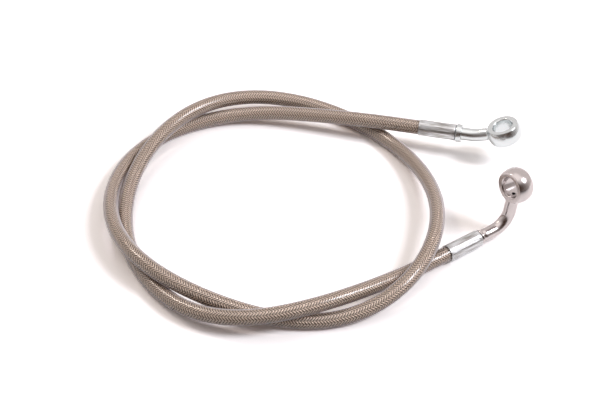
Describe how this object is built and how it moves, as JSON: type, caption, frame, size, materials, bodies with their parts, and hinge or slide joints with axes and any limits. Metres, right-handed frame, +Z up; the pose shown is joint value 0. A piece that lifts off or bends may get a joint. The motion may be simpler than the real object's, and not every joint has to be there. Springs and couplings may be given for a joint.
{
  "type": "brake line",
  "caption": "Flexible brake line, coiled: a clear-covered braided stainless hose with a crimped ferrule and a bent banjo fitting on each end.",
  "frame": {"origin": "centre of the whole coil's footprint, on the plane that the hose lies on", "axes": "+Z up; +X towards the side where both fittings point; +Y away from the viewer, towards the upper fitting's side of the coil"},
  "size_m": [0.2122, 0.172, 0.0374],
  "materials": {
    "clear_cover": "clear PVC cover, glossy, over steel braid",
    "steel_braid": "woven stainless wire",
    "liner": "white PTFE, satin",
    "zinc_ferrule": "zinc plated, crimped",
    "bright_zinc": "bright zinc plated, satin",
    "nickel_plate": "polished nickel plate"
  },
  "bodies": {
    "root": {"hose_cover": "clear_cover", "hose_braid": "steel_braid", "hose_liner": "liner", "upper_ferrule": "zinc_ferrule", "upper_banjo_fitting": "bright_zinc", "lower_ferrule": "zinc_ferrule", "lower_banjo_fitting": "nickel_plate"}
  },
  "joints": []
}
